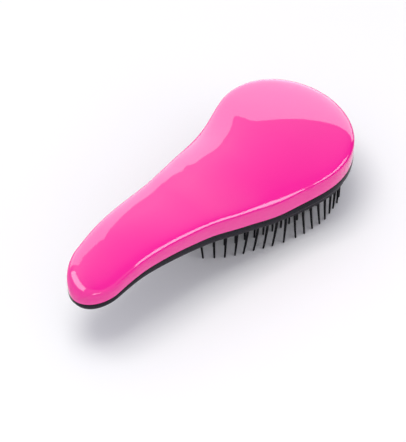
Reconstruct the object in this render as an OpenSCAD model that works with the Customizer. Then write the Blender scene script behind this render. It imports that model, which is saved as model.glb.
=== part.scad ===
// Detangling brush: a gloss top cover on a black lower shell that holds a plate of two-tier bristles.
// Millimetres, +Z up. The brush stands on its long bristles' tips at z = 0, handle towards -X,
// head towards +X, mirror plane y = 0. The origin lies under the middle of the whole length.

/* [Outline] */
// Whole length, from the handle's tip to the end of the head
length = 185; // [170:1:200]
// Greatest width, over the head
head_w = 78.6; // [74:0.1:85]
// Width where the head begins to open out
shoulder_w = 65.5; // [61:0.1:70]
// Width half way along
waist_w = 51.9; // [48:0.1:56]
// Width of the neck, behind the bristles
neck_w = 42.1; // [38:0.1:45]
// Width of the grip, where the fingers close round it
grip_w = 35.7; // [32:0.1:39]
// Width that the grip's sides aim for at the tip, before it is rounded
tip_w = 28; // [25:0.1:31]
// Length over which the handle's tip is rounded
tip_round = 16.2; // [13:0.1:19]
// Length over which the end of the head is rounded
head_round = 36.4; // [32:0.1:40]

/* [Side view] */
// Height of the colour line over the bristle plate's face, at the handle's tip
tip_line_h = 13.4; // [11.5:0.1:16]
// Height of the colour line over the plate's face, at the grip
grip_line_h = 22.7; // [20:0.1:25]
// Height of the colour line over the plate's face, at the neck
neck_line_h = 16.8; // [14:0.1:19]
// Height of the colour line over the plate's face, half way along
waist_line_h = 11.6; // [10:0.1:13]
// Least height of the colour line over the plate's face, where the head opens out
low_line_h = 6.6; // [6.2:0.1:8]
// Height of the colour line over the plate's face, at the head's widest place
head_line_h = 10.3; // [9:0.1:12]
// Height of the colour line over the plate's face, at the end of the head
end_line_h = 11.6; // [10:0.1:13.5]
// Height of the cover's shoulders over the colour line, over the head
side_h = 11.2; // [10:0.1:13]
// Height of the cover's shoulders over the colour line, at the grip
grip_side_h = 9.4; // [8.5:0.1:10.5]
// Height that the shoulders aim for at the handle's tip, before the cover falls away
tip_side_h = 7.9; // [7:0.1:9]
// Length over which the cover's top falls to the handle's tip
cover_tip_fall = 10.5; // [8:0.1:14]
// Size of the rounding at the cover's shoulder, along the sides
shoulder_r = 2.1; // [1.7:0.1:3]
// Size of the rounding at the cover's shoulder, at the end of the head
end_shoulder_r = 6.8; // [4:0.1:9]

/* [Walls and joint] */
// Wall of the top cover
cover_t = 2; // [1.8:0.1:2.4]
// Thickness of the cover's spigot lip
lip_t = 0.9; // [0.7:0.1:1]
// Depth of the lip inside the lower shell
lip_h = 1.5; // [1:0.1:1.8]
// Open groove that shows along the colour line
seam = 0.15; // [0.1:0.05:0.3]
// Play round the lip
lip_play = 0.12; // [0.08:0.02:0.2]
// Wall of the lower shell
base_t = 2; // [1.8:0.1:2.4]
// Depth of the black rim that shows round the head
rim_h = 6; // [5.6:0.1:6.4]
// Depth of the rounded underside of the handle
belly_h = 6.4; // [6:0.1:7.5]
// Length over which the underside falls away from the handle's tip
belly_tip_fall = 8; // [6:0.5:10]

/* [Bristle field] */
// Height of the bristle plate's face over the table, which is the long bristles' length
bristle_l = 24; // [18:0.5:30]
// Height over the table of the short bristles' tips
short_lift = 15.5; // [12:0.5:17]
// Length of the bristle field
field_l = 97; // [90:1:98]
// Distance from the outline to the outermost bristles
field_margin = 6.2; // [6:0.1:7.6]
// Distance between two rows across
row_pitch = 4.9; // [4.6:0.1:5.4]
// Distance aimed at between two bristles of a row
bristle_pitch = 3.1; // [2.9:0.1:3.5]
// Side of a bristle at its root
root_side = 1.5; // [1.2:0.1:1.7]
// Side of the flat tip that a bristle stands on
foot_side = 0.85; // [0.6:0.05:1.1]
// Thickness of the backing slice that the bristles grow from
slice_t = 0.8; // [0.6:0.1:1]

/* [Bristle plate and its seat] */
// Backing beyond the centres of the outermost bristles
plug_margin = 1.8; // [1.6:0.1:2]
// Play round the plate in the lower shell
plate_play = 0.2; // [0.15:0.05:0.3]
// Width of the ledge that the plate's flange rests on
ledge_w = 1; // [0.8:0.1:1.2]
// Height of the ledge over the plate's face
ledge_h = 2.6; // [2.4:0.1:3]
// Thickness of the plate's flange
flange_t = 1.4; // [1.2:0.1:1.8]
// Wall of the collar round the plate
collar_t = 1.2; // [1:0.1:1.4]
// Gap under the flange
seat_gap = 0.1; // [0.05:0.05:0.2]

/* [Posts and sockets] */
// Diameter of the cover's posts
post_d = 5; // [4.5:0.1:5.4]
// Diameter of the spigot at the end of each post
spigot_d = 3; // [2.6:0.1:3.4]
// Depth of each socket, and of the spigot in it
socket_h = 4; // [3:0.5:5]
// Outer diameter of each socket
socket_d = 6.6; // [6:0.1:7.4]
// Play round each spigot
spigot_play = 0.08; // [0.05:0.01:0.12]
// Gap between a post's shoulder and its socket's rim
shoulder_gap = 0.2; // [0.1:0.05:0.4]
// Distance of the head's posts from the head's widest place, along the brush
post_x = 19; // [14:0.5:22]
// Distance of the head's posts from the middle plane
post_y = 14; // [10:0.5:17]
// Distance from the handle's tip to its first post
first_grip_post = 26; // [22:0.5:32]
// Distance from the handle's tip to its second post
second_grip_post = 62; // [56:0.5:66]

/* [Hidden] */

// Stations along the brush and steps across it
n_long = 44;
n_across = 20;
n_round = 48;

// Places of the outline's widths, as shares of the length; the widest place follows from the head's rounding
outline_shares = [0, 0.22, 0.38, 0.5, 0.66];
outline_widths = [tip_w, grip_w, neck_w, waist_w, shoulder_w];
widest_s = length - head_round;
width_table = concat(
    [for (i = [0 : len(outline_shares) - 1]) [outline_shares[i] * length, outline_widths[i] / 2]],
    [[widest_s, head_w / 2], [length, head_w / 2]]);

// Places of the colour line's heights, as shares of the length
line_shares = [0, 0.19, 0.4, 0.51, 0.64, 0.8, 1];
line_heights = [tip_line_h, grip_line_h, neck_line_h, waist_line_h, low_line_h, head_line_h, end_line_h];
line_table = [for (i = [0 : len(line_shares) - 1]) [line_shares[i] * length, bristle_l + line_heights[i]]];

// The cover's shoulders over the colour line, and how far its top falls from the middle to the
// shoulders at the places of the line, as shares of its height
side_shares = [0, 0.25, 0.6, 1];
side_heights = [tip_side_h, grip_side_h, side_h, side_h];
side_table = [for (i = [0 : len(side_shares) - 1]) [side_shares[i] * length, side_heights[i]]];
dome_shares = [0.25, 0.2, 0.11, 0.16, 0.35, 0.28, 0.18];
dome_table = [for (i = [0 : len(line_shares) - 1]) [line_shares[i] * length, dome_shares[i]]];

// The underside's depth below the colour line, and the powers that square its section
depth_shares = [0, 0.2, 0.5, 1];
depth_values = [belly_h, belly_h, rim_h, rim_h];
depth_table = [for (i = [0 : len(depth_shares) - 1]) [depth_shares[i] * length, depth_values[i]]];
corner_shares = [0, 0.15, 0.33, 0.5, 1];
corner_powers = [3.4, 5, 9, 12, 12];
corner_table = [for (i = [0 : len(corner_shares) - 1]) [corner_shares[i] * length, corner_powers[i]]];

// Powers of the rounded ends
tip_power = 1.9;
head_power = 2;
fall_power = 2.6;

// Monotone cubic through a table of [place, value], level outside it
function span(t, v, i = 0) = (i >= len(t) - 2 || v <= t[i + 1][0]) ? i : span(t, v, i + 1);
function secant(t, i) = (t[i + 1][1] - t[i][1]) / (t[i + 1][0] - t[i][0]);
function slope(t, i) =
    i == 0 ? secant(t, 0)
    : i == len(t) - 1 ? secant(t, i - 1)
    : let (a = secant(t, i - 1), b = secant(t, i))
        a * b <= 0 ? 0 : 2 * a * b / (a + b);
function curve(t, v) =
    let (i = span(t, v), h = t[i + 1][0] - t[i][0], q = min(1, max(0, (v - t[i][0]) / h)))
        (2 * q * q * q - 3 * q * q + 1) * t[i][1] + (3 * q * q - 2 * q * q * q) * t[i + 1][1]
        + h * (q * q * q - 2 * q * q + q) * slope(t, i) + h * (q * q * q - q * q) * slope(t, i + 1);

// Quarter of a superellipse: 1 at v = 0, 0 at v = 1
function cap(v, p) = v <= 0 ? 1 : v >= 1 ? 0 : pow(1 - pow(v, p), 1 / p);

// s is the distance from the handle's tip, d how far the shape is drawn in from the outline
function half_w(s, d) =
    (curve(width_table, s) - d)
        * cap((tip_round - s) / (tip_round - d), tip_power) * cap(end_part(s, d), head_power);
function line_z(s) = curve(line_table, s);
function crown(s, d) =
    (curve(side_table, s) / (1 - curve(dome_table, s)) - d)
        * cap((cover_tip_fall - s) / (cover_tip_fall - d), fall_power);
function bowl(s, d, step) =
    (curve(depth_table, s) - d - step) * cap((belly_tip_fall - s) / (belly_tip_fall - d), fall_power);
function round_over(u, p) = pow(max(0, 1 - pow(abs(u), p)), 1 / p);
// How far round the head's end a place is, from 0 at the widest place to 1
function end_part(s, d) = max(0, s - widest_s) / (head_round - d);
// How near to the outline a place is, from 0 in the middle to 1, also all round the head's end
function nearness(s, u, d) =
    let (q = end_part(s, d))
        min(1, sqrt(q * q + (1 - q * q) * u * u));
// The cover's section is a low dome that turns down at a shoulder, tight along the sides and softer
// towards the head's end
function shoulder_at(s, u, d) =
    s <= widest_s ? shoulder_r
    : shoulder_r + (end_shoulder_r - shoulder_r) * pow(end_part(s, d) / nearness(s, u, d), 2);
function dome(s, u, d) =
    let (n = nearness(s, u, d))
        (1 - curve(dome_table, s) * n * n) * round_over(n, curve(width_table, s) / shoulder_at(s, u, d));

// Stations close up towards both ends, steps across close up towards the edges
function station(i, d) = d + (length - 2 * d) * (1 - cos(180 * i / n_long)) / 2;
function across(j) = sin(90 * (2 * j / n_across - 1));
function to_x(s) = s - length / 2;

// A skin from edge to edge: the two end points, then a row of points for each station between
function skin_rows(d) = [for (i = [1 : n_long - 1]) station(i, d)];
function cover_skin(d) = concat(
    [[to_x(d), 0, line_z(d)], [to_x(length - d), 0, line_z(length - d)]],
    [for (s = skin_rows(d)) for (j = [0 : n_across])
        [to_x(s), half_w(s, d) * across(j), line_z(s) + crown(s, d) * dome(s, across(j), d)]]);
function bowl_skin(d, step) = concat(
    [[to_x(d), 0, line_z(d) - step], [to_x(length - d), 0, line_z(length - d) - step]],
    [for (s = skin_rows(d)) for (j = [0 : n_across])
        [to_x(s), half_w(s, d) * across(j),
            line_z(s) - step - bowl(s, d, step)
                * round_over(nearness(s, across(j), d), curve(corner_table, s))]]);
// The edge of a skin as a ring of its own, drawn in by d and moved by dz
function edge_ring(d, dz) = concat(
    [[to_x(d), 0, line_z(d) + dz]],
    [for (s = skin_rows(d)) [to_x(s), -half_w(s, d), line_z(s) + dz]],
    [[to_x(length - d), 0, line_z(length - d) + dz]],
    [for (i = [n_long - 1 : -1 : 1]) let (s = station(i, d)) [to_x(s), half_w(s, d), line_z(s) + dz]]);

// Point numbers: a skin holds 2 + (n_long - 1)(n_across + 1) points, a ring 2 n_long
skin_size = 2 + (n_long - 1) * (n_across + 1);
function skin_point(o, i, j) = i == 0 ? o : i == n_long ? o + 1 : o + 2 + (i - 1) * (n_across + 1) + j;
function skin_edge(o) = concat(
    [for (i = [0 : n_long]) skin_point(o, i, 0)],
    [for (i = [n_long - 1 : -1 : 1]) skin_point(o, i, n_across)]);
function ring_edge(o) = [for (k = [0 : 2 * n_long - 1]) o + k];

// Triangles of a skin, seen from above if up, and of the band between two rings
function turned(f, flip) = flip ? [f[0], f[2], f[1]] : f;
function skin_faces(o, up) = concat(
    [for (j = [0 : n_across - 1])
        turned([o, skin_point(o, 1, j + 1), skin_point(o, 1, j)], !up)],
    [for (i = [1 : n_long - 2]) for (j = [0 : n_across - 1]) for (k = [0, 1])
        turned(k == 0
            ? [skin_point(o, i, j), skin_point(o, i, j + 1), skin_point(o, i + 1, j + 1)]
            : [skin_point(o, i, j), skin_point(o, i + 1, j + 1), skin_point(o, i + 1, j)], !up)],
    [for (j = [0 : n_across - 1])
        turned([o + 1, skin_point(o, n_long - 1, j), skin_point(o, n_long - 1, j + 1)], !up)]);
function band_faces(a, b) = [for (k = [0 : len(a) - 1], h = [0, 1])
    let (m = (k + 1) % len(a)) h == 0 ? [a[k], a[m], b[m]] : [a[k], b[m], b[k]]];

// Thin shell between two skins, with rings that step along its open edge
module shell(outer, rings, inner, up) {
    offsets = [for (k = [0 : len(rings)]) skin_size + k * 2 * n_long];
    o_inner = skin_size + len(rings) * 2 * n_long;
    edges = concat(
        [skin_edge(0)],
        [for (k = [0 : len(rings) - 1]) ring_edge(offsets[k])],
        [skin_edge(o_inner)]);
    bands = [for (k = [0 : len(edges) - 2]) each band_faces(edges[k], edges[k + 1])];
    polyhedron(
        points = concat(outer, [for (r = rings) each r], inner),
        faces = concat(
            skin_faces(0, up),
            [for (f = bands) turned(f, !up)],
            skin_faces(o_inner, !up)));
}

// The bristle field's egg-shaped outline
field_end = length - field_margin;
field_start = field_end - field_l;
field_half_w = head_w / 2 - field_margin;
egg_long_power = 1.7;
egg_side_power = 1.4;
// Place along the egg, drawn out by d: -1 at its start, 0 at the widest place and 1 at its end
function egg_part(s, d) =
    (s - widest_s) / (s < widest_s ? widest_s - field_start + d : field_end - widest_s + d);
function egg_w(q, d) =
    (field_half_w + d) * (q < 0
        ? pow(max(0, 1 - pow(-q, egg_long_power)), 1 / egg_side_power)
        : sqrt(max(0, 1 - q * q)));
// Half width of the field at place s
function field_w(s) = egg_w(egg_part(s, 0), 0);

// Rows of bristles: places along the brush, counts, and places across
row_n = floor(field_l / row_pitch - 0.5);
first_row = (field_start + field_end - row_n * row_pitch) / 2;
rows = [for (i = [0 : row_n]) first_row + i * row_pitch];
function row_count(s) = max(2, round(2 * field_w(s) / bristle_pitch) + 1);
function bristle_y(s, k) = field_w(s) * (2 * k / (row_count(s) - 1) - 1);
// The outermost bristle of each side and every third one inwards is long
function is_long(s, k) = min(k, row_count(s) - 1 - k) % 3 == 0;

// The plate's outline drawn out by d round the bristle centres, through the rows' edges
function plug_w(s, d) = egg_w(max(-1, min(1, egg_part(s, d))), d);
end_share = 0.75;
plug_places = concat(
    [rows[0] - root_side / 2 + end_share * (field_start - plug_margin - rows[0] + root_side / 2)],
    [for (s = rows) each [s - root_side / 2, s + root_side / 2]],
    [rows[row_n] + root_side / 2 + end_share * (field_end + plug_margin - rows[row_n] - root_side / 2)]);
// The same places, moved out with an outline that is drawn out further
function moved_out(s, d) = widest_s + (s - widest_s)
    * (s < widest_s ? (widest_s - field_start + d) / (widest_s - field_start + plug_margin)
        : (field_end - widest_s + d) / (field_end - widest_s + plug_margin));
function plate_outline(d) = concat(
    [[to_x(field_start - d), 0]],
    [for (s = plug_places) [to_x(moved_out(s, d)), -plug_w(moved_out(s, d), d)]],
    [[to_x(field_end + d), 0]],
    [for (k = [len(plug_places) - 1 : -1 : 0])
        let (s = moved_out(plug_places[k], d)) [to_x(s), plug_w(s, d)]]);
module plate_prism(d, z0, z1) {
    translate([0, 0, z0]) linear_extrude(z1 - z0) polygon(plate_outline(d));
}

// Heights of the plate's seat
ledge_z = bristle_l + ledge_h;
flange_z = ledge_z + seat_gap;
flange_top = flange_z + flange_t;
flange_d = plug_margin + ledge_w;
pocket_d = flange_d + plate_play;
collar_d = pocket_d + collar_t;
// The collar stops under the cover's lip, which is higher round the head's end than where the head
// opens out. At the neck it reaches up into the handle.
collar_top = bristle_l + low_line_h - lip_h - lip_play;
head_collar_share = 0.76;
head_collar_top = min(line_z(head_collar_share * length), line_z(length)) - lip_h - lip_play;
neck_collar_share = 0.58;
neck_collar_top = line_z(field_start - collar_d) - curve(depth_table, field_start - collar_d) + base_t;

// Posts: places in the head and in the handle, as distances from the handle's tip and from the middle
head_posts = [for (x = [-1, 1], y = [-1, 1]) [widest_s + x * post_x, y * post_y]];
grip_posts = [[first_grip_post, 0], [second_grip_post, 0]];
grip_socket_z = [for (p = grip_posts) line_z(p[0]) - curve(depth_table, p[0]) + base_t + socket_h];
head_socket_z = flange_top + socket_h;

// Height of the middle of the cover's wall over a place
function cover_mid_z(s, y) =
    line_z(s) + crown(s, cover_t / 2) * dome(s, y / half_w(s, cover_t / 2), cover_t / 2);
module post(p, socket_z) {
    top = cover_mid_z(p[0], p[1]);
    shoulder = socket_z + shoulder_gap;
    translate([to_x(p[0]), p[1], shoulder])
        cylinder(h = top - shoulder, d = post_d, $fn = n_round);
    translate([to_x(p[0]), p[1], socket_z - socket_h + shoulder_gap])
        cylinder(h = socket_h + post_d / 2, d = spigot_d, $fn = n_round);
}
module socket(p, socket_z, foot_z) {
    translate([to_x(p[0]), p[1], foot_z])
        cylinder(h = socket_z - foot_z, d = socket_d, $fn = n_round);
}
module socket_bore(p, socket_z) {
    translate([to_x(p[0]), p[1], socket_z - socket_h])
        cylinder(h = socket_h + post_d, d = spigot_d + 2 * spigot_play, $fn = n_round);
}

module top_cover() {
    lip_d = cover_t - lip_t;
    color("hotpink") union() {
        shell(
            cover_skin(0),
            [edge_ring(lip_d, 0), edge_ring(lip_d, -lip_h), edge_ring(cover_t, -lip_h)],
            cover_skin(cover_t),
            true);
        for (p = head_posts) post(p, head_socket_z);
        for (i = [0 : len(grip_posts) - 1]) post(grip_posts[i], grip_socket_z[i]);
    }
}

// The collar between two places, given as shares of the length, up to a height of its own
module collar_part(share_a, share_b, top) {
    intersection() {
        plate_prism(collar_d, bristle_l, top);
        translate([to_x(share_a * length), -head_w / 2, bristle_l])
            cube([(share_b - share_a) * length, head_w, top - bristle_l]);
    }
}

module base_shell() {
    rebate_d = cover_t - lip_t - lip_play;
    step = lip_h + seam + lip_play;
    color([0.12, 0.11, 0.13]) difference() {
        union() {
            translate([0, 0, -seam]) shell(
                bowl_skin(0, 0),
                [edge_ring(rebate_d, 0), edge_ring(rebate_d, -step), edge_ring(base_t, -step)],
                bowl_skin(base_t, step),
                false);
            plate_prism(collar_d, bristle_l, collar_top);
            collar_part(0, neck_collar_share, neck_collar_top);
            collar_part(head_collar_share, 1, head_collar_top);
            for (i = [0 : len(grip_posts) - 1])
                socket(grip_posts[i], grip_socket_z[i], grip_socket_z[i] - socket_h - base_t / 2);
        }
        plate_prism(pocket_d, ledge_z, neck_collar_top + base_t);
        plate_prism(plug_margin + plate_play, 0, ledge_z + base_t);
        for (i = [0 : len(grip_posts) - 1]) socket_bore(grip_posts[i], grip_socket_z[i]);
    }
}

module bristle_plate() {
    color([0.1, 0.1, 0.11]) difference() {
        union() {
            plate_prism(plug_margin, bristle_l + slice_t, flange_z);
            plate_prism(flange_d, flange_z, flange_top);
            for (p = head_posts) socket(p, head_socket_z, flange_z);
        }
        for (p = head_posts) socket_bore(p, head_socket_z);
    }
}

// The bristles and their slice of backing are one solid. Its lower face is built in strips from
// line to line across the field; each row of bristles has a line before it and a line after it.
function row_line(s, side) = concat(
    [[s + side * root_side / 2, -plug_w(s + side * root_side / 2, plug_margin)]],
    [for (k = [0 : row_count(s) - 1]) each
        [[s + side * root_side / 2, bristle_y(s, k) - root_side / 2],
            [s + side * root_side / 2, bristle_y(s, k) + root_side / 2]]],
    [[s + side * root_side / 2, plug_w(s + side * root_side / 2, plug_margin)]]);
function plain_line(s) = [[s, -plug_w(s, plug_margin)], [s, plug_w(s, plug_margin)]];
lines = concat(
    [[[field_start - plug_margin, 0]], plain_line(plug_places[0])],
    [for (s = rows) each [row_line(s, -1), row_line(s, 1)]],
    [plain_line(plug_places[len(plug_places) - 1]), [[field_end + plug_margin, 0]]]);
function starts(list, i = 0, n = 0) =
    i == len(list) ? [n] : concat([n], starts(list, i + 1, n + len(list[i])));
line_start = starts(lines);
face_size = line_start[len(lines)];
// Triangles between two lines whose points run the same way, taking the nearer next point
function zip(a, b, i = 0, j = 0) =
    let (more_a = i < len(lines[a]) - 1, more_b = j < len(lines[b]) - 1)
        !more_a && !more_b ? []
        : (more_a && (!more_b || lines[a][i + 1][1] <= lines[b][j + 1][1]))
            ? concat([[line_start[a] + i, line_start[b] + j, line_start[a] + i + 1]], zip(a, b, i + 1, j))
            : concat([[line_start[a] + i, line_start[b] + j, line_start[b] + j + 1]], zip(a, b, i, j + 1));
function is_row(a) = a >= 2 && a % 2 == 0 && a < len(lines) - 2;
// The open face between the two lines of a row leaves out each bristle's root
function row_faces(a) = [for (m = [0 : 2 : len(lines[a]) - 2], h = [0, 1])
    let (p = line_start[a] + m, q = line_start[a + 1] + m)
        h == 0 ? [p, q, q + 1] : [p, q + 1, p + 1]];
// The slice's upper face has only the lines' end points
top_start = starts([for (l = lines) len(l) == 1 ? [0] : [0, 0]]);
top_size = top_start[len(lines)];
function top_low(a) = face_size + top_start[a];
function top_high(a) = top_low(a) + (len(lines[a]) == 1 ? 0 : 1);
function end_low(a) = line_start[a];
function end_high(a) = line_start[a] + len(lines[a]) - 1;
function slim(f) = [for (t = f) if (t[0] != t[1] && t[1] != t[2] && t[0] != t[2]) t];
slice_faces = slim([for (a = [0 : len(lines) - 2]) each [
    [top_low(a), top_high(a), top_high(a + 1)], [top_low(a), top_high(a + 1), top_low(a + 1)],
    [end_low(a), top_low(a), top_low(a + 1)], [end_low(a), top_low(a + 1), end_low(a + 1)],
    [end_high(a), top_high(a + 1), top_high(a)], [end_high(a), end_high(a + 1), top_high(a + 1)]]]);
// Each bristle tapers from four root corners in the lower face to the four corners of its foot
strands = [for (r = [0 : row_n], k = [0 : row_count(rows[r]) - 1]) [r, k]];
corner_signs = [[-1, -1], [-1, 1], [1, 1], [1, -1]];
function strand_roots(r, k) =
    let (a = 2 + 2 * r, m = 1 + 2 * k)
        [line_start[a] + m, line_start[a] + m + 1, line_start[a + 1] + m + 1, line_start[a + 1] + m];
function strand_points(r, k) =
    let (s = rows[r], y = bristle_y(s, k), foot = is_long(s, k) ? 0 : short_lift)
        [for (c = corner_signs) [to_x(s) + c[0] * foot_side / 2, y + c[1] * foot_side / 2, foot]];
function strand_faces(n) =
    let (o = face_size + top_size + 4 * n, root = strand_roots(strands[n][0], strands[n][1]),
        foot = [o, o + 1, o + 2, o + 3])
        concat(
            [for (c = [0 : 3], h = [0, 1]) let (e = (c + 1) % 4)
                h == 0 ? [root[c], foot[e], root[e]] : [root[c], foot[c], foot[e]]],
            [[foot[0], foot[2], foot[1]], [foot[0], foot[3], foot[2]]]);

module bristles() {
    under = [for (l = lines) each [for (p = l) [to_x(p[0]), p[1], bristle_l]]];
    upper = [for (l = lines) each [for (p = (len(l) == 1 ? [l[0]] : [l[0], l[len(l) - 1]]))
        [to_x(p[0]), p[1], bristle_l + slice_t]]];
    color([0.05, 0.05, 0.06]) polyhedron(
        points = concat(under, upper, [for (s = strands) each strand_points(s[0], s[1])]),
        faces = concat(
            [for (a = [0 : len(lines) - 2]) each (is_row(a) ? row_faces(a) : zip(a, a + 1))],
            slice_faces,
            [for (n = [0 : len(strands) - 1]) each strand_faces(n)]));
}

top_cover();
base_shell();
bristle_plate();
bristles();
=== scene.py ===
"""Detangling brush: a gloss cover on a black lower shell, with two-tier bristles under the head.

Every piece is built in the CAD frame, in metres: x runs from the handle's tip to the head's end,
y across the brush and z up from the table. The outline, side view and section are the CAD model's.
"""

import bpy
import numpy as np
from bpy.props import FloatProperty, FloatVectorProperty, PointerProperty
from mathutils import Matrix, Vector


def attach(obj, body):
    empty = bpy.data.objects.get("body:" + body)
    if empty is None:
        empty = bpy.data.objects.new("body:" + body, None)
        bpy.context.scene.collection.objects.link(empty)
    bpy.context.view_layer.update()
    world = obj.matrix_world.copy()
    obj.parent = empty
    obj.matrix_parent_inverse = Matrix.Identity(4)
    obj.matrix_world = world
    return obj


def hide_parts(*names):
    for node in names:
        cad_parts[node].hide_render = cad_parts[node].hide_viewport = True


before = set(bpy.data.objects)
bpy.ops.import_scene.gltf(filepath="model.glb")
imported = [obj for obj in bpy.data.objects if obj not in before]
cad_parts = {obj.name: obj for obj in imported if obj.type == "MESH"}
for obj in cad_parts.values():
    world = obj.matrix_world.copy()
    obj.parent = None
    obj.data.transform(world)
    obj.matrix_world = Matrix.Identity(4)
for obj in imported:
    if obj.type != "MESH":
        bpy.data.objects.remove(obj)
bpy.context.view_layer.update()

bl_info = {
    "name": "Detangling Brush",
    "version": (1, 0, 0),
    "blender": (4, 5, 0),
    "location": "View3D > Sidebar > Brush",
    "description": "Builds a gloss detangling brush with two-tier bristles and a plain studio",
    "category": "Add Mesh",
}


# Sizes and colours that a user may change


def amount(name, description, default, **more):
    """A number that is never below nought."""
    return FloatProperty(name=name, description=description, default=default, min=0.0, **more)


def size(name, description, default):
    """A length in metres."""
    return amount(name, description, default, precision=5, unit="LENGTH")


def share(name, description, default):
    """A number from 0 to 1."""
    return amount(name, description, default, max=1.0, subtype="FACTOR")


def tint(name, description, default):
    """A colour, in linear red, green and blue."""
    return FloatVectorProperty(name=name, description=description, default=default, size=3,
                               min=0.0, max=1.0, subtype="COLOR")


class BrushOutline(bpy.types.PropertyGroup):
    """Sizes of the brush seen from above"""
    length: size("Length", "Whole length, from the handle's tip to the head's end", 0.185)
    head_w: size("Head width", "Greatest width, over the head", 0.0786)
    shoulder_w: size("Shoulder width", "Width where the head begins to open out", 0.0655)
    waist_w: size("Waist width", "Width half way along", 0.0519)
    neck_w: size("Neck width", "Width behind the bristles", 0.0421)
    grip_w: size("Grip width", "Width where the fingers close round the handle", 0.0357)
    tip_w: size("Tip width", "Width that the grip's sides aim for at the tip", 0.028)
    tip_round: size("Tip rounding", "Length over which the handle's tip is rounded", 0.0162)
    head_round: size("Head rounding", "Length over which the head's end is rounded", 0.0364)


class BrushSide(bpy.types.PropertyGroup):
    """Sizes of the brush seen from the side. The colour line's heights are over the plate's face"""
    tip_line_h: size("Line at the tip", "Height of the colour line at the handle's tip", 0.0134)
    grip_line_h: size("Line at the grip", "Height of the colour line at the grip", 0.0227)
    neck_line_h: size("Line at the neck", "Height of the colour line at the neck", 0.0168)
    waist_line_h: size("Line half way", "Height of the colour line half way along", 0.0116)
    low_line_h: size("Lowest line", "Height of the line where the head opens out", 0.0066)
    head_line_h: size("Line at the head", "Height of the line at the head's widest place", 0.0103)
    end_line_h: size("Line at the end", "Height of the colour line at the head's end", 0.0116)
    side_h: size("Shoulder height", "Height of the shoulders over the line, at the head", 0.0112)
    grip_side_h: size("Grip's shoulders", "Height of the shoulders over the line, at the grip", 0.0094)
    tip_side_h: size("Tip's shoulders", "Height that the shoulders aim for at the tip", 0.0079)
    cover_tip_fall: size("Fall to the tip", "Length over which the cover falls to the tip", 0.0105)
    shoulder_r: size("Shoulder rounding", "Rounding of the shoulder along the sides", 0.0021)
    end_shoulder_r: size("End rounding", "Rounding of the shoulder at the head's end", 0.0068)
    rim_h: size("Rim depth", "Depth of the black rim round the head", 0.006)
    belly_h: size("Belly depth", "Depth of the handle's underside", 0.0064)
    belly_tip_fall: size("Belly fall", "Length over which the underside falls away at the tip", 0.008)
    wall: size("Wall", "Wall of the cover and of the lower shell", 0.002)
    seam: size("Seam", "Open groove along the colour line", 0.00015)
    edge_round: size("Edge rounding", "Rounding of both edges along the colour line", 0.00018)
    lip_in: size("Lip's place", "Distance from the outside to the cover's lip", 0.0011)
    lip_drop: size("Lip's drop", "How far the lip stands below the colour line", 0.0015)
    seat_in: size("Seat's place", "Distance from the outside to the seat round the lip", 0.00098)
    seat_drop: size("Seat's depth", "Depth of that seat in the lower shell", 0.00177)


class BrushBristles(bpy.types.PropertyGroup):
    """Sizes of the bristle field and of what carries it"""
    bristle_l: size("Long bristles", "Length of the long bristles", 0.024)
    short_lift: size("Short bristles' lift", "Height of the short bristles' tips", 0.0155)
    field_l: size("Field length", "Length of the bristle field", 0.097)
    field_margin: size("Field margin", "Distance from the outline to the outermost bristles", 0.0062)
    row_pitch: size("Row pitch", "Distance between two rows across", 0.0049)
    bristle_pitch: size("Bristle pitch", "Distance aimed at between a row's bristles", 0.0031)
    root_d: size("Root diameter", "Diameter of a bristle at its root", 0.00175)
    tip_d: size("Tip diameter", "Diameter of a bristle above its rounded tip", 0.00105)
    scatter: size("Scatter", "Width of the spread of the tips round their places", 0.0004)
    plug_margin: size("Plate margin", "Plate beyond the outermost bristles", 0.0018)
    plate_play: size("Plate play", "Play round the plate in the lower shell", 0.0002)
    plate_round: size("Plate rounding", "Rounding of the plate's lower edge", 0.0003)
    collar_w: size("Collar width", "Collar beyond the plate's play", 0.0022)
    collar_round: size("Collar rounding", "Rounding of the collar's lower edges", 0.0004)
    slice_t: size("Backing", "Thickness of the backing that the bristles grow from", 0.0008)


class BrushLooks(bpy.types.PropertyGroup):
    """Colours and finish of the brush"""
    cover_color: tint("Cover", "Colour of the gloss cover", (0.885, 0.018, 0.315))
    shell_color: tint("Lower shell", "Colour of the lower shell", (0.010, 0.008, 0.014))
    plate_color: tint("Plate", "Colour of the bristle plate", (0.012, 0.011, 0.014))
    bristle_color: tint("Bristles", "Colour of the bristles", (0.002, 0.0018, 0.004))
    cover_roughness: share("Cover roughness", "Roughness of the gloss cover", 0.03)
    black_shine: share("Black shine", "How strongly the black plastics reflect", 0.08)


class BrushStage(bpy.types.PropertyGroup):
    """Floor and lights"""
    floor_color: tint("Floor", "Colour of the floor", (0.95, 0.955, 0.955))
    sky: amount("Sky", "Light from all round", 0.74, max=2.0)
    sky_color: tint("Sky colour", "Colour of the light from all round", (0.93, 0.91, 1.0))
    lamp_color: tint("Lamp colour", "Colour of the two lamps", (1.0, 1.0, 0.95))
    key_power: amount("Key lamp", "Power of the overhead lamp", 3.7, unit="POWER")
    fill_power: amount("Fill lamp", "Power of the low lamp on the near side", 0.7, unit="POWER")
    far_power: amount("Far card", "Brightness of the card that the far side reflects", 4.3)
    strip_power: amount("Strip card", "Brightness of the strip that the near shoulder reflects", 8.0)
    tip_power: amount("Tip cards", "Brightness of the cards that the tip reflects", 7.0)
    ceiling_power: amount("Ceiling", "Brightness of the ceiling that the head reflects", 0.4)
    ceiling_rise: amount("Ceiling rise", "Rise of that brightness for each metre towards +y", 1.3)


# Shape of the brush


# Powers of the rounded ends: the outline's at the tip and at the head, and that of both skins' fall
# to the tip in the side view
TIP_POWER, HEAD_POWER, FALL_POWER = 1.9, 2.0, 2.6
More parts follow.
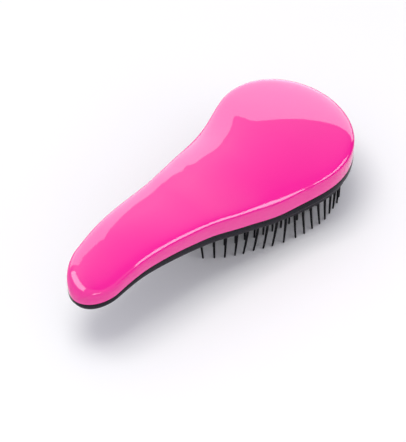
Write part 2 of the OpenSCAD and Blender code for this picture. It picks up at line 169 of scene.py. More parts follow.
# Places along the brush as shares of its length, for the widths, the colour line and the dome, the
# shoulders, the underside's depth and its corners
WIDTH_SHARES = [0, 0.22, 0.38, 0.5, 0.66]
LINE_SHARES = [0, 0.19, 0.4, 0.51, 0.64, 0.8, 1]
SHOULDER_SHARES = [0, 0.25, 0.6, 1]
DEPTH_SHARES = [0, 0.2, 0.5, 1]
CORNER_SHARES = [0, 0.15, 0.33, 0.5, 1]
# How far the cover's top falls to its shoulders, as a share of its height, and the powers of the
# underside's section
DOME_FALL_SHARES = [0.25, 0.2, 0.11, 0.16, 0.35, 0.28, 0.18]
CORNER_POWERS = [3.4, 5, 9, 12, 12]
# Powers of the bristle field's leaf, and how often a bristle of a row is long
LEAF_POWER, LEAF_ROOT = 1.7, 1.4
LONG_EVERY = 3


def curve(places, values, v):
    """Monotone cubic through (places, values): each inner slope is the harmonic mean of the slopes
    beside it, or nought where they differ in sign, and the curve stays level outside the places."""
    places, values = np.asarray(places, float), np.asarray(values, float)
    run = np.diff(places)
    rise = np.diff(values) / run
    slope = np.concatenate([rise[:1], np.zeros(len(rise) - 1), rise[-1:]])
    before, after = rise[:-1], rise[1:]
    same = before * after > 0
    slope[1:-1] = np.where(same, 2 * before * after / np.where(same, before + after, 1), 0)
    v = np.clip(v, places[0], places[-1])
    i = np.clip(np.searchsorted(places, v) - 1, 0, len(run) - 1)
    h, q = run[i], (v - places[i]) / run[i]
    return ((2 * q**3 - 3 * q**2 + 1) * values[i] + (3 * q**2 - 2 * q**3) * values[i + 1]
            + h * (q**3 - 2 * q**2 + q) * slope[i] + h * (q**3 - q**2) * slope[i + 1])


def cap(v, p):
    """Quarter of a superellipse of power p: 1 at v = 0 and 0 at v = 1."""
    v = np.clip(v, 0, 1)
    return np.maximum(0, 1 - v**p)**(1 / p)


def egg(q):
    """Half the bristle field's width as a share of the greatest. From the widest place, q = 0, it is
    a leaf, (1 - |q|^1.7)^(1/1.4), down to q = -1 and a quarter circle up to q = 1."""
    leaf = np.maximum(0, 1 - np.abs(q)**LEAF_POWER)**(1 / LEAF_ROOT)
    return np.where(q < 0, leaf, np.sqrt(np.maximum(0, 1 - q * q)))


class Shape:
    """The brush's body as functions of s, the distance from the handle's tip, and d, how far a
    skin is drawn in from the outside."""

    def __init__(self, scene):
        self.plan, self.heights = scene.brush_outline, scene.brush_side
        self.bristles = scene.brush_bristles
        self.length = self.plan.length
        self.widest = self.length - self.plan.head_round
        self.field_end = self.length - self.bristles.field_margin
        self.field_start = self.field_end - self.bristles.field_l

    def x(self, s):
        """The place along x, which is 0 half way along the brush."""
        return s - self.length / 2

    def along(self, shares, values, s):
        """The curve through values at places given as shares of the length."""
        return curve(np.array(shares) * self.length, values, s)

    def flank(self, s):
        """Half the width before the ends are rounded off."""
        p = self.plan
        places = [*np.array(WIDTH_SHARES) * self.length, self.widest, self.length]
        widths = [p.tip_w, p.grip_w, p.neck_w, p.waist_w, p.shoulder_w, p.head_w, p.head_w]
        return curve(places, np.array(widths) / 2, s)

    def half_width(self, s, d=0.0):
        """Half the outline's width, rounded off at both ends."""
        tip = self.plan.tip_round
        return ((self.flank(s) - d) * cap((tip - s) / (tip - d), TIP_POWER)
                * cap(self.end_part(s, d), HEAD_POWER))

    def end_part(self, s, d=0.0):
        """How far round the head's end a place is, from 0 at the widest place to 1."""
        return np.maximum(0, s - self.widest) / (self.plan.head_round - d)

    def nearness(self, s, u, d=0.0):
        """How near a place is to the outline, from 0 in the middle to 1, all round the head's end.
        u runs across the brush, from -1 on the near side to 1."""
        q = self.end_part(s, d)
        return np.minimum(1, np.sqrt(q * q + (1 - q * q) * u * u))

    def line(self, s):
        """Height of the colour line over the table."""
        h = self.heights
        heights = [h.tip_line_h, h.grip_line_h, h.neck_line_h, h.waist_line_h, h.low_line_h,
                   h.head_line_h, h.end_line_h]
        return self.bristles.bristle_l + self.along(LINE_SHARES, heights, s)

    def fall(self, s):
        """How far the cover's top falls from the middle to the shoulders, as a share of its height."""
        return self.along(LINE_SHARES, DOME_FALL_SHARES, s)

    def crown(self, s, d=0.0):
        """Height of the cover's top over the colour line."""
        h = self.heights
        shoulders = self.along(SHOULDER_SHARES, [h.tip_side_h, h.grip_side_h, h.side_h, h.side_h], s)
        tip = h.cover_tip_fall
        return (shoulders / (1 - self.fall(s)) - d) * cap((tip - s) / (tip - d), FALL_POWER)

    def dome(self, s, u, d=0.0):
        """The cover's section: a low dome that turns down at a shoulder, 1 in the middle and 0 at the
        outline. The shoulder is tight along the sides and softer towards the head's end."""
        h = self.heights
        near = self.nearness(s, u, d)
        turned = (self.end_part(s, d) / np.maximum(near, 1e-9))**2
        r = h.shoulder_r + (h.end_shoulder_r - h.shoulder_r) * turned
        return (1 - self.fall(s) * near * near) * cap(near, self.flank(s) / r)

    def depth(self, s):
        """Depth of the underside below the colour line."""
        h = self.heights
        return self.along(DEPTH_SHARES, [h.belly_h, h.belly_h, h.rim_h, h.rim_h], s)

    def belly(self, s, d=0.0, step=0.0):
        """Depth of the underside's middle below an edge that lies a step under the colour line."""
        tip = self.heights.belly_tip_fall
        return (self.depth(s) - d - step) * cap((tip - s) / (tip - d), FALL_POWER)

    def corner(self, s):
        """Power of the underside's section: rounder under the handle, square round the head."""
        return self.along(CORNER_SHARES, CORNER_POWERS, s)

    def field(self, d=0.0, n=240):
        """Outline of the bristle field drawn out by d, as n places round it."""
        a = np.linspace(-np.pi, np.pi, n, endpoint=False)
        q = np.cos(a)
        reach = np.where(q < 0, self.widest - self.field_start, self.field_end - self.widest)
        y = np.sign(np.sin(a)) * (self.field_half_width() + d) * egg(q)
        return self.widest + q * (reach + d), y

    def field_half_width(self):
        """Half the bristle field's greatest width."""
        return self.plan.head_w / 2 - self.bristles.field_margin

    def row_half_width(self, s):
        """Half the length of a row of bristles across the field."""
        reach = np.where(s < self.widest, self.widest - self.field_start, self.field_end - self.widest)
        return self.field_half_width() * egg((s - self.widest) / reach)

    def bristle_places(self):
        """Row, place s, place y, number in its row, and whether long, of every bristle: rows across
        at an even pitch, each evenly filled; the outermost of each side and every third one inwards
        is long."""
        b = self.bristles
        gaps = int(np.floor(b.field_l / b.row_pitch - 0.5))
        first = (self.field_start + self.field_end - gaps * b.row_pitch) / 2
        rows = first + np.arange(gaps + 1) * b.row_pitch
        reach = self.row_half_width(rows)
        counts = np.maximum(2, np.floor(2 * reach / b.bristle_pitch + 0.5).astype(int) + 1)
        row = np.repeat(np.arange(gaps + 1), counts)
        k = np.arange(len(row)) - np.repeat(np.cumsum(counts) - counts, counts)
        last = counts[row] - 1
        y = reach[row] * (2 * k / last - 1)
        return row, rows[row], y, k, np.minimum(k, last - k) % LONG_EVERY == 0


# Meshes


# Stations along and steps across of the skins of the cover and of the lower shell
COVER_GRID, TRAY_GRID = (170, 100), (150, 90)
# Edges sharper than so many degrees stay sharp, on the shells and on the bristles
SHARP_ANGLE, BRISTLE_SHARP_ANGLE = 35.0, 50.0


def mesh_object(name, points, faces, material, angle=SHARP_ANGLE):
    """A mesh from one array of points and a list of face arrays, each with a row of point numbers
    for every face."""
    mesh = bpy.data.meshes.new(name)
    loops = np.concatenate([np.asarray(f).ravel() for f in faces]).astype(np.int32)
    sides = np.concatenate([np.full(len(f), np.asarray(f).shape[1]) for f in faces]).astype(np.int32)
    starts = (np.cumsum(sides) - sides).astype(np.int32)
    mesh.vertices.add(len(points))
    mesh.vertices.foreach_set("co", np.ascontiguousarray(points, np.float32).ravel())
    mesh.loops.add(len(loops))
    mesh.loops.foreach_set("vertex_index", loops)
    mesh.polygons.add(len(sides))
    mesh.polygons.foreach_set("loop_start", starts)
    mesh.update(calc_edges=True)
    mesh.validate()
    smooth_shaded(mesh, angle)
    mesh.materials.append(material)
    obj = bpy.data.objects.new(name, mesh)
    bpy.context.collection.objects.link(obj)
    return obj


def smooth_shaded(mesh, angle=SHARP_ANGLE):
    """Shades the mesh smooth, but for edges sharper than the angle in degrees."""
    mesh.shade_smooth()
    mesh.set_sharp_from_angle(angle=np.radians(angle))


def quarter_turn(steps):
    """Angles round a rounded edge, from 0 to 90 degrees."""
    return np.radians(np.linspace(0, 90, steps + 1))


def stations(shape, d, n):
    """Places along the brush that close up towards both ends, without the two end places."""
    t = (1 - np.cos(np.pi * np.arange(1, n) / n)) / 2
    return d + (shape.length - 2 * d) * t


def skin(shape, d, n, m, height):
    """Points of a skin from edge to edge: the tip, the head's end, and a row of points for each
    station between, from the near side to the far side. y is half the width times u, the sine of
    even steps from -90 to 90 degrees, and height(s, u) gives z."""
    s = stations(shape, d, n)
    u = np.sin(np.pi / 2 * np.linspace(-1, 1, m + 1))
    s, u = np.meshgrid(s, u, indexing="ij")
    ends = np.array([d, shape.length - d])
    poles = np.stack([shape.x(ends), 0 * ends, height(ends, np.ones(2))], -1)
    rows = np.stack([shape.x(s), shape.half_width(s, d) * u, height(s, u)], -1)
    return np.concatenate([poles, rows.reshape(-1, 3)])


def skin_rows(first, n, m):
    """Numbers of a skin's points, a row for each station. Its two end points come first."""
    return first + 2 + np.arange((n - 1) * (m + 1)).reshape(n - 1, m + 1)


def skin_faces(first, n, m):
    """Quads and end triangles of a skin, seen from above."""
    r = skin_rows(first, n, m)
    quads = np.stack([r[:-1, :-1], r[1:, :-1], r[1:, 1:], r[:-1, 1:]], -1).reshape(-1, 4)
    tip = np.stack([np.full(m, first), r[0, :-1], r[0, 1:]], -1)
    end = np.stack([np.full(m, first + 1), r[-1, 1:], r[-1, :-1]], -1)
    return quads, np.concatenate([tip, end])


def skin_edge(first, n, m):
    """The skin's edge as a loop: tip, near side, head's end, far side."""
    r = skin_rows(first, n, m)
    return np.concatenate([[first], r[:, 0], [first + 1], r[::-1, m]])


def edge_ring(shape, d, dz, n):
    """A ring that follows the colour line, drawn in by d and moved up by dz."""
    s = stations(shape, d, n)
    around = np.concatenate([[d], s, [shape.length - d], s[::-1]])
    side = np.concatenate([[0], -np.ones(n - 1), [0], np.ones(n - 1)])
    return np.stack([shape.x(around), side * shape.half_width(around, d), shape.line(around) + dz], -1)


def band(a, b):
    """Quads between two loops of point numbers."""
    return np.stack([a, b, np.roll(b, -1), np.roll(a, -1)], -1)


def shell_object(name, shape, outer, rings, inner, n, m, upwards, material):
    """A thin closed shell: outer skin, rings round its edge, inner skin. With upwards its outer
    skin faces up, and otherwise down."""
    count, round_edge = len(outer), 2 * n
    points = np.concatenate([outer, *rings, inner])
    second = count + len(rings) * round_edge
    between = [count + k * round_edge + np.arange(round_edge) for k in range(len(rings))]
    edges = [skin_edge(0, n, m), *between, skin_edge(second, n, m)]
    quads, ends = skin_faces(0, n, m)
    inside, inside_ends = skin_faces(second, n, m)
    bands = [band(a, b) for a, b in zip(edges, edges[1:])]
    faces = [quads, ends, *bands, inside[:, ::-1], inside_ends[:, ::-1]]
    return mesh_object(name, points, faces if upwards else [f[:, ::-1] for f in faces], material)


def loft_object(name, loops, material, lid=False):
    """A ring-shaped solid through closed loops of points, the last joined to the first, or with lid
    a solid whose first and last loops are filled."""
    k, n = loops.shape[:2]
    index = np.arange(k * n).reshape(k, n)
    joined = [band(index[i], index[(i + 1) % k]) for i in range(k - 1 if lid else k)]
    points = loops.reshape(-1, 3)
    faces = [np.concatenate(joined)]
    if lid:
        middle = np.stack([loops[0].mean(0), loops[-1].mean(0)])
        points = np.concatenate([points, middle])
        faces.append(np.stack([np.full(n, k * n), index[0], np.roll(index[0], -1)], -1))
        faces.append(np.stack([np.full(n, k * n + 1), np.roll(index[-1], -1), index[-1]], -1))
    return mesh_object(name, points, faces, material)


def field_loops(shape, profile):
    """Loops round the bristle field for loft_object. The profile is a list of (how far the loop is
    drawn out from the field, its height)."""
    loops = []
    for d, z in profile:
        s, y = shape.field(d)
        loops.append(np.stack([shape.x(s), y, np.broadcast_to(z, s.shape)], -1))
    return np.array(loops)


# Finishes


# How fine the noise is, in octaves past the first, of a plastic's colour and of its surface
BROAD_DETAIL, FINE_DETAIL = 3.0, 4.0


def node_tree(name):
    """A new material, with its nodes, its links and its shader."""
    material = bpy.data.materials.new(name)
    material.use_nodes = True
    nodes = material.node_tree.nodes
    return material, nodes, material.node_tree.links, nodes["Principled BSDF"]


def noise(nodes, links, where, scale, detail):
    """Noise over Object coordinates, so many waves to the metre."""
    made = nodes.new("ShaderNodeTexNoise")
    made.inputs["Scale"].default_value = scale
    made.inputs["Detail"].default_value = detail
    links.new(where.outputs["Object"], made.inputs["Vector"])
    return made


def spread(nodes, links, source, low, high):
    """Maps noise between 0.3 and 0.7 to low and high."""
    made = nodes.new("ShaderNodeMapRange")
    for socket, value in (("From Min", 0.3), ("From Max", 0.7), ("To Min", low), ("To Max", high)):
        made.inputs[socket].default_value = value
    links.new(source.outputs["Fac"], made.inputs["Value"])
    return made.outputs["Result"]


def mixed(nodes, links, first, second, factor):
    """A colour between two others, as the factor goes from 0 to 1."""
    mix = nodes.new("ShaderNodeMix")
    mix.data_type = "RGBA"
    mix.inputs["A"].default_value = (*first, 1)
    mix.inputs["B"].default_value = (*second, 1)
    links.new(factor, mix.inputs["Factor"])
    return mix.outputs["Result"]


def plastic(name, color, drift, roughness, roughness_drift, broad, fine, relief, shine=0.5):
    """Moulded plastic: a colour that drifts by a small share over broad waves, a roughness that
    drifts over fine ones, and a relief of so many metres. broad and fine are waves to the metre."""
    material, nodes, links, shader = node_tree(name)
    shader.inputs["Specular IOR Level"].default_value = shine
    where = nodes.new("ShaderNodeTexCoord")
    wide = noise(nodes, links, where, broad, BROAD_DETAIL)
    close = noise(nodes, links, where, fine, FINE_DETAIL)
    darker, lighter = [c * (1 - drift) for c in color], [min(1, c * (1 + drift)) for c in color]
    tone = mixed(nodes, links, darker, lighter, spread(nodes, links, wide, 0, 1))
    links.new(tone, shader.inputs["Base Color"])
    rough = spread(nodes, links, close, roughness - roughness_drift, roughness + roughness_drift)
    links.new(rough, shader.inputs["Roughness"])
    bump = nodes.new("ShaderNodeBump")
    bump.inputs["Strength"].default_value = 1.0
    bump.inputs["Distance"].default_value = relief
    links.new(close.outputs["Fac"], bump.inputs["Height"])
    links.new(bump.outputs["Normal"], shader.inputs["Normal"])
    return material


def finish_named(name):
    """The named finish, made on first use. The frame's own materials have the slots' names."""
    if name in bpy.data.materials:
        return bpy.data.materials[name]
    looks = bpy.context.scene.brush_looks
    black = looks.black_shine
    if name == "cover_finish":
        return plastic(name, looks.cover_color, drift=0.02, roughness=looks.cover_roughness,
                       roughness_drift=0.012, broad=25, fine=350, relief=0.000002)
    if name == "shell_finish":
        return plastic(name, looks.shell_color, drift=0.12, roughness=0.3, roughness_drift=0.06,
                       broad=60, fine=1800, relief=0.000006, shine=black)
    if name == "plate_finish":
        return plastic(name, looks.plate_color, drift=0.15, roughness=0.45, roughness_drift=0.08,
                       broad=60, fine=2500, relief=0.00001, shine=black)
    if name == "bristle_finish":
        return plastic(name, looks.bristle_color, drift=0.25, roughness=0.38, roughness_drift=0.06,
                       broad=120, fine=900, relief=0.000004, shine=black)
    raise ValueError(f"no finish is named {name}")


def on_brush(obj, node):
    """The piece stands for a CAD node and rides on the brush's one body."""
    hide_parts(node)
    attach(obj, "root")


# One operator for each piece


class BRUSH_OT_cover(bpy.types.Operator):
    """Build the gloss top cover"""
    bl_idname = "brush.cover"
    bl_label = "Top cover"

    def execute(self, context):
        shape = Shape(context.scene)
        h = shape.heights
        r = h.edge_round
        n, m = COVER_GRID

        # Both skins rise from the colour line by the crown's height times the dome

        def outside(s, u):
            return shape.line(s) + r + np.maximum(0, shape.crown(s) - r) * shape.dome(s, u)

        def inside(s, u):
            return shape.line(s) + shape.crown(s, h.wall) * shape.dome(s, u, h.wall)

        # The edge turns in round its rounding, then down and up again over the lip
        edge = [(r * (1 - np.cos(a)), r * (1 - np.sin(a))) for a in quarter_turn(3)[1:]]
        edge += [(h.lip_in, 0), (h.lip_in, -h.lip_drop), (h.wall, -h.lip_drop)]
        rings = [edge_ring(shape, d, dz, n) for d, dz in edge]
        made = shell_object("gloss_cover", shape, skin(shape, 0, n, m, outside), rings,
                            skin(shape, h.wall, n, m, inside), n, m, True, finish_named("cover_finish"))
        on_brush(made, "top_cover")
        return {"FINISHED"}


# The collar reaches so far up into the shell's floor, as a share of the wall
COLLAR_SINK_SHARE = 0.6
# The opening is cut from so far below the plate's face to so far above it
CUT_BELOW, CUT_ABOVE = 0.004, 0.02


class BRUSH_OT_lower_shell(bpy.types.Operator):
    """Build the black lower shell with its rim, its rounded handle and the collar round the plate"""
    bl_idname = "brush.lower_shell"
    bl_label = "Lower shell"

    def execute(self, context):
        shape = Shape(context.scene)
        black = finish_named("shell_finish")
        shell = self.tray(shape, black)
        self.combine(shell, self.cutter(shape, black), "DIFFERENCE")
        self.combine(shell, self.collar(shape, black), "UNION")
        shell.data.name = "lower_shell"
        smooth_shaded(shell.data)
        on_brush(shell, "base_shell")
        return {"FINISHED"}

    def tray(self, shape, material):
        """The shell before its opening: from the colour line it goes down by the depth, times a
        superellipse of the nearness to the outline."""
        h = shape.heights
        r, step = h.edge_round, h.seat_drop
        n, m = TRAY_GRID

        def outside(s, u):
            return (shape.line(s) - h.seam - r
                    - np.maximum(0, shape.belly(s) - r) * cap(shape.nearness(s, u), shape.corner(s)))

        def inside(s, u):
            return (shape.line(s) - h.seam - step
                    - shape.belly(s, h.wall, step) * cap(shape.nearness(s, u, h.wall), shape.corner(s)))

        # The edge turns in round its rounding, then down into the seat round the cover's lip
        edge = [(r * (1 - np.cos(a)), -r * (1 - np.sin(a))) for a in quarter_turn(3)[1:]]
        edge += [(h.seat_in, 0), (h.seat_in, -step), (h.wall, -step)]
        rings = [edge_ring(shape, d, dz - h.seam, n) for d, dz in edge]
        return shell_object("lower_shell", shape, skin(shape, 0, n, m, outside), rings,
                            skin(shape, h.wall, n, m, inside), n, m, False, material)

    def collar(self, shape, material):
        """A ring whose section is a wall with rounded lower edges, level with the plate's face."""
        b = shape.bristles
        inner = b.plug_margin + b.plate_play
        outer = inner + b.collar_w
        face, e, turn = b.bristle_l, b.collar_round, quarter_turn(4)
        profile = [(outer - e * (1 - np.cos(a)), face + e * (1 - np.sin(a))) for a in turn]
        profile += [(inner + e * (1 - np.sin(a)), face + e * (1 - np.cos(a))) for a in turn]
        outer_top, inner_top = (self.collar_top(shape, d) for d in (outer, inner))
        loops = field_loops(shape, [(outer, outer_top), *profile, (inner, inner_top)])
        return loft_object("collar", loops, material)

    def collar_top(self, shape, d):
        """Height of the collar's top, which follows the shell's floor."""
        s, h = shape.field(d)[0], shape.heights
        return shape.line(s) - h.seam - shape.depth(s) + COLLAR_SINK_SHARE * h.wall

    def cutter(self, shape, material):
        """The solid that cuts the opening, along the middle of the collar."""
        b = shape.bristles
        middle = b.plug_margin + b.plate_play + b.collar_w / 2
        levels = [(middle, b.bristle_l + CUT_ABOVE), (middle, b.bristle_l - CUT_BELOW)]
        return loft_object("cutter", field_loops(shape, levels), material, lid=True)

    def combine(self, shell, other, how):
        """The shell's mesh becomes its union with the other or its difference, and the other goes."""
        made = shell.modifiers.new(how.title(), "BOOLEAN")
        made.operation, made.solver, made.object = how, "EXACT", other
        bpy.context.view_layer.update()
        seen = shell.evaluated_get(bpy.context.evaluated_depsgraph_get())
        combined = bpy.data.meshes.new_from_object(seen)
        shell.modifiers.clear()
        old, shell.data = shell.data, combined
        bpy.data.meshes.remove(old)
        bpy.data.meshes.remove(other.data)


# Rings down a bristle, from its root: (share of its length, metres added, share of the way from the
# root's radius to the tip's, share of that radius)
BRISTLE_RINGS = [(0.0, -0.0003, 0.0, 1.35), (0.0, 0.0004, 0.0, 1.02), (0.35, 0.0, 0.35, 1.0),
                 (0.7, 0.0, 0.7, 1.0), (1.0, -0.0006, 1.0, 1.0), (1.0, -0.00015, 1.0, 0.72),
                 (1.0, 0.0, 1.0, 0.25)]
BRISTLE_SIDES = 8
# The sines that scatter the tips along x and along y: turn for each row, turn for each bristle of a
# row, and height, large enough that neighbours have nothing in common
SCATTER_WAVES = [(12.9898, 78.233, 43758.5453), (39.3468, 11.135, 24634.6345)]
# How far the tip of each row's first bristle on the near side is bent, row by row from the handle,
# in millimetres towards the head's end and outwards
NEAR_BENDS = [(0.4, 2.0), (-0.2, 0.6), (-1.0, 0.2), (-1.2, -0.4), (-2.2, -1.0), (-1.8, -1.3), (-2.0, -1.0),
              (-2.4, -0.7), (-1.4, 0.2), (0.6, 0.9), (1.0, 1.1), (1.6, 0.7), (1.8, 0.6), (1.2, 0.1),
              (1.0, -0.8), (0.0, -0.6), (-0.6, 0.4), (-1.8, 1.8), (0.0, 0.0), (0.0, 0.0)]


class BRUSH_OT_bristles(bpy.types.Operator):
    """Build the plate's face and the two-tier bristles"""
    bl_idname = "brush.bristles"
    bl_label = "Bristles"

    def execute(self, context):
        shape = Shape(context.scene)
        on_brush(self.face(shape), "bristles")
        on_brush(self.strands(shape), "bristles")
        return {"FINISHED"}

    def face(self, shape):
        """The slice of backing that the bristles grow from, with a rounded lower edge."""
        b = shape.bristles
        e = b.plate_round
        profile = [(b.plug_margin, b.bristle_l + b.slice_t)]
        profile += [(b.plug_margin - e * (1 - np.cos(a)), b.bristle_l + e * (1 - np.sin(a)))
                    for a in quarter_turn(3)]
        return loft_object("plate_face", field_loops(shape, profile), finish_named("plate_finish"), lid=True)

    def strands(self, shape):
        """Every bristle as rings of points round its middle line, which leaves the plate square and
        bends by 1.5 t^2 - 0.5 t^3 of its lean, where t goes from 0 at the root to 1 at the tip."""
        b = shape.bristles
        row, s, y, k, is_long = shape.bristle_places()
        lengths = np.where(is_long, b.bristle_l, b.bristle_l - b.short_lift)
        lean_x, lean_y = self.leans(b, row, k)
        a = 2 * np.pi * (np.arange(BRISTLE_SIDES) + 0.5) / BRISTLE_SIDES
        circle = np.stack([np.cos(a), np.sin(a), 0 * a], -1)
        rings = []
        for part, extra, thinned, swell in BRISTLE_RINGS:
            radius = (b.root_d + (b.tip_d - b.root_d) * thinned) / 2 * swell
            down = part * lengths + extra
            t = np.clip(down / lengths, 0, 1)
            bend = 1.5 * t**2 - 0.5 * t**3
            middle = np.stack([shape.x(s) + lean_x * bend, y + lean_y * bend, b.bristle_l - down], -1)
            rings.append(middle[:, None, :] + radius * circle[None, :, :])
        points = np.stack(rings, 1)
        index = np.arange(points.size // 3).reshape(points.shape[:3])
        after = np.roll(index, -1, 2)
        walls = np.stack([index[:, :-1], index[:, 1:], after[:, 1:], after[:, :-1]], -1).reshape(-1, 4)
        roots, tips = index[:, 0], index[:, -1, ::-1]
        return mesh_object("bristle_strands", points.reshape(-1, 3), [walls, tips, roots],
                           finish_named("bristle_finish"), BRISTLE_SHARP_ANGLE)

    def leans(self, sizes, row, k):
        """How far each tip has strayed along x and y: a slight scatter, the fraction of a large sine
        of its row and number, and on the near side's edge the bends of a brush that stands."""
        scatter = []
        for row_turn, turn, reach in SCATTER_WAVES:
            wave = np.sin(row_turn * (row + 1) + turn * (k + 1)) * reach
            scatter.append(sizes.scatter * (wave - np.floor(wave) - 0.5))
        bends = np.array(NEAR_BENDS)[np.minimum(row, len(NEAR_BENDS) - 1)] / 1000
        near = k == 0
        return np.where(near, bends[:, 0], scatter[0]), np.where(near, -bends[:, 1], scatter[1])


class BRUSH_OT_plate(bpy.types.Operator):
    """Finish the bristle plate inside the lower shell"""
    bl_idname = "brush.plate"
    bl_label = "Bristle plate"

    def execute(self, context):
        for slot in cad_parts["bristle_plate"].material_slots:
            slot.material = finish_named("plate_finish")
        return {"FINISHED"}


# Upright cards that only reflections see. The edge of each is a list of (place along it, lowest z,
# highest z). The far card's upper edge draws the edge of the pale band over the cover's far side.
FAR_CARD_LOW = 0.041
FAR_CARD = [(w / 1000, FAR_CARD_LOW, z / 1000) for w, z in (
    (-180, 80), (-138, 80), (-118, 88), (-100, 94), (-76, 97), (-60, 97), (-50, 99), (-41, 101),
    (-27, 106), (-16, 108), (-9, 105), (-4, 100), (1, 95), (6, 92), (9, 94), (12, 100), (15, 106),
    (20, 111), (30, 115), (38, 120), (54, 138), (80, 172), (116, 212), (160, 268), (250, 300), (350, 320))]
STRIP_CARD = [(-0.42, 0.27, 0.74), (0.42, 0.27, 0.74)]
DARK_CARD = [(-0.3, 0.002, 0.09), (0.3, 0.002, 0.09)]
TIP_CARD = [(-0.27, 0.15, 0.38), (0.24, 0.15, 0.38)]
TIP_LOW_CARD = [(-0.075, 0.025, 0.087), (0.075, 0.025, 0.087)]
# Each card's name, its foot, the direction that it faces in degrees, its edge, and the property that
# holds its brightness, where it has any
CARDS = [("far_card", (0.0665, 0.0665), 45.0, FAR_CARD, "far_power"),
         ("strip_card", (0.3, -0.52), -60.0, STRIP_CARD, "strip_power"),
         ("dark_card", (0.1, -0.111), -48.0, DARK_CARD, None),
         ("tip_card", (-0.504, 0.272), 147.0, TIP_CARD, "tip_power"),
         ("tip_low_card", (-0.413, -0.229), -145.0, TIP_LOW_CARD, "tip_power")]
# The ceiling's reach along x and y, its height, and its least brightness
CEILING_X, CEILING_Y, CEILING_Z = (-1.5, 2.4), (-1.2, 2.4), 1.05
CEILING_LEAST = 0.15
FLOOR_REACH = 3.0
# The middle of the brush, which the lamps point at, their places, and their widths
LAMP_TARGET = (0, 0, 0.02)
KEY_PLACE, KEY_WIDTH = (-0.14, 0.06, 0.93), 0.45
FILL_PLACE, FILL_WIDTH = (0.25, -0.75, 0.35), 0.5
# The camera was fitted to the photo. It looks at a point under the brush's middle. The angles are in
# degrees: round from the near side towards the head, up, and its roll.
CAMERA_ROUND, CAMERA_UP, CAMERA_ROLL = -44.921, 51.0, -0.082
CAMERA_TARGET, CAMERA_DISTANCE = (-0.002016, 0.000563, 0.02), 1.01036
CAMERA_NEAREST, CAMERA_FURTHEST = 0.05, 20
FOCAL_PIXELS, PICTURE_PIXELS, SENSOR = 1942.9, 442, 36


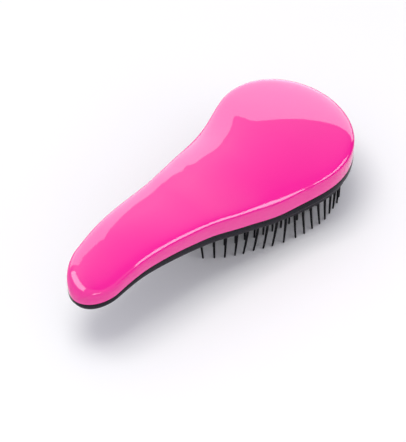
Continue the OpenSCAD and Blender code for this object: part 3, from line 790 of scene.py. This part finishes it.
class BRUSH_OT_stage(bpy.types.Operator):
    """Lay the floor, hang the lamps and set the camera"""
    bl_idname = "brush.stage"
    bl_label = "Stage"

    def execute(self, context):
        scene = context.scene
        stage = scene.brush_stage
        scene.view_settings.view_transform = "Standard"
        self.sky(scene, stage)
        self.floor(stage)
        for name, foot, facing, edge, power in CARDS:
            self.card(name, foot, facing, edge, getattr(stage, power) if power else 0.0)
        self.ceiling(stage)
        self.lamp("key_lamp", KEY_PLACE, stage.key_power, stage.lamp_color, KEY_WIDTH)
        self.lamp("fill_lamp", FILL_PLACE, stage.fill_power, stage.lamp_color, FILL_WIDTH)
        self.camera(scene)
        return {"FINISHED"}

    def sky(self, scene, stage):
        """White to the camera and in reflections, dimmer as a light."""
        world = bpy.data.worlds.new("studio")
        scene.world = world
        world.use_nodes = True
        nodes, links = world.node_tree.nodes, world.node_tree.links
        path = nodes.new("ShaderNodeLightPath")
        seen = path.outputs["Is Camera Ray"]
        for other in ("Is Glossy Ray", "Is Transmission Ray"):
            either = nodes.new("ShaderNodeMath")
            either.operation = "MAXIMUM"
            links.new(seen, either.inputs[0])
            links.new(path.outputs[other], either.inputs[1])
            seen = either.outputs["Value"]
        light = [c * stage.sky for c in stage.sky_color]
        links.new(mixed(nodes, links, light, (1, 1, 1), seen), nodes["Background"].inputs["Color"])

    def floor(self, stage):
        """A plain pale square that mirrors nothing."""
        corners = np.array([[-1, -1, 0], [1, -1, 0], [1, 1, 0], [-1, 1, 0]]) * FLOOR_REACH
        material = plastic("floor_pale", stage.floor_color, drift=0.004, roughness=0.6,
                           roughness_drift=0.03, broad=3, fine=40, relief=0.0, shine=0.0)
        floor = mesh_object("floor", corners, [np.array([[0, 1, 2, 3]])], material)

    def only_reflected(self, name, low, high, power, rise=0.0):
        """A flat sheet of light that only reflections see, between two rows of points. Its power
        rises by so much for each metre towards +y."""
        material, nodes, links, shader = node_tree(name)
        shader.inputs["Base Color"].default_value = (0, 0, 0, 1)
        shader.inputs["Specular IOR Level"].default_value = 0.0
        shader.inputs["Emission Color"].default_value = (1, 1, 1, 1)
        shader.inputs["Emission Strength"].default_value = power
        if rise:
            links.new(self.rising(nodes, links, power, rise), shader.inputs["Emission Strength"])
        n = len(low)
        i = np.arange(n - 1)
        faces = [np.stack([i, i + 1, n + i + 1, n + i], -1)]
        made = mesh_object(name, np.concatenate([low, high]), faces, material)
        for ray in ("camera", "diffuse", "shadow", "transmission"):
            setattr(made, "visible_" + ray, False)

    def rising(self, nodes, links, power, rise):
        """A brightness that is power at y = 0 and rises towards +y, but never falls under the least."""
        where, parts = nodes.new("ShaderNodeTexCoord"), nodes.new("ShaderNodeSeparateXYZ")
        ramp, least = nodes.new("ShaderNodeMapRange"), nodes.new("ShaderNodeMath")
        ends = (("From Min", -1), ("From Max", 1), ("To Min", power - rise), ("To Max", power + rise))
        for socket, value in ends:
            ramp.inputs[socket].default_value = value
        ramp.clamp = True
        least.operation = "MAXIMUM"
        least.inputs[1].default_value = CEILING_LEAST
        links.new(where.outputs["Object"], parts.inputs["Vector"])
        links.new(parts.outputs["Y"], ramp.inputs["Value"])
        links.new(ramp.outputs["Result"], least.inputs[0])
        return least.outputs["Value"]

    def card(self, name, foot, facing, edge, power):
        """An upright card over its foot, square to the direction facing."""
        along, low, high = np.array(edge).T
        turn = np.radians(facing)
        x, y = foot[0] - np.sin(turn) * along, foot[1] + np.cos(turn) * along
        self.only_reflected(name, np.stack([x, y, low], -1), np.stack([x, y, high], -1), power)

    def ceiling(self, stage):
        """A dim sheet overhead, which darkens what the cover's top reflects."""
        low, high = (np.array([[x, y, CEILING_Z] for x in CEILING_X]) for y in CEILING_Y)
        self.only_reflected("ceiling_card", low, high, stage.ceiling_power, stage.ceiling_rise)

    def lamp(self, name, place, power, color, width):
        """A square lamp that lights the brush but isn't seen in reflections."""
        light = bpy.data.lights.new(name, "AREA")
        light.shape, light.size, light.energy, light.color = "SQUARE", width, power, color
        made = bpy.data.objects.new(name, light)
        bpy.context.collection.objects.link(made)
        made.location = place
        made.rotation_euler = (Vector(place) - Vector(LAMP_TARGET)).to_track_quat("Z", "Y").to_euler()
        made.visible_glossy = False

    def camera(self, scene):
        """The camera stands 1.01 m from its target, 44.9 degrees round towards the handle and 51
        degrees up."""
        az, el, roll = np.radians([CAMERA_ROUND, CAMERA_UP, CAMERA_ROLL])
        back = np.array([np.sin(az) * np.cos(el), -np.cos(az) * np.cos(el), np.sin(el)])
        data = bpy.data.cameras.new("camera")
        data.lens, data.sensor_width = FOCAL_PIXELS / PICTURE_PIXELS * SENSOR, SENSOR
        data.clip_start, data.clip_end = CAMERA_NEAREST, CAMERA_FURTHEST
        made = bpy.data.objects.new("camera", data)
        bpy.context.collection.objects.link(made)
        spot = np.array(CAMERA_TARGET) + back * CAMERA_DISTANCE
        turn = Vector(back).to_track_quat("Z", "Y").to_matrix().to_4x4()
        made.matrix_world = Matrix.Translation(spot) @ turn @ Matrix.Rotation(roll, 4, "Z")
        scene.camera = made


STEPS = ["brush.cover", "brush.lower_shell", "brush.bristles", "brush.plate", "brush.stage"]


class BRUSH_PT_panel(bpy.types.Panel):
    """The brush's sizes, finishes and build steps"""
    bl_label = "Detangling brush"
    bl_idname = "BRUSH_PT_panel"
    bl_space_type = "VIEW_3D"
    bl_region_type = "UI"
    bl_category = "Brush"

    def draw(self, context):
        for group in GROUPS:
            values = getattr(context.scene, group)
            box = self.layout.box()
            for name in values.__annotations__:
                box.prop(values, name)
        for step in STEPS:
            self.layout.operator(step)


GROUPS = {"brush_outline": BrushOutline, "brush_side": BrushSide, "brush_bristles": BrushBristles,
          "brush_looks": BrushLooks, "brush_stage": BrushStage}
CLASSES = [*GROUPS.values(), BRUSH_OT_cover, BRUSH_OT_lower_shell, BRUSH_OT_bristles, BRUSH_OT_plate,
           BRUSH_OT_stage, BRUSH_PT_panel]


def register():
    for made in CLASSES:
        bpy.utils.register_class(made)
    for name, group in GROUPS.items():
        setattr(bpy.types.Scene, name, PointerProperty(type=group))


def unregister():
    for name in GROUPS:
        delattr(bpy.types.Scene, name)
    for made in reversed(CLASSES):
        bpy.utils.unregister_class(made)


def main():
    register()
    bpy.ops.brush.cover()
    bpy.ops.brush.lower_shell()
    bpy.ops.brush.bristles()
    bpy.ops.brush.plate()
    bpy.ops.brush.stage()


if __name__ == "__main__":
    main()
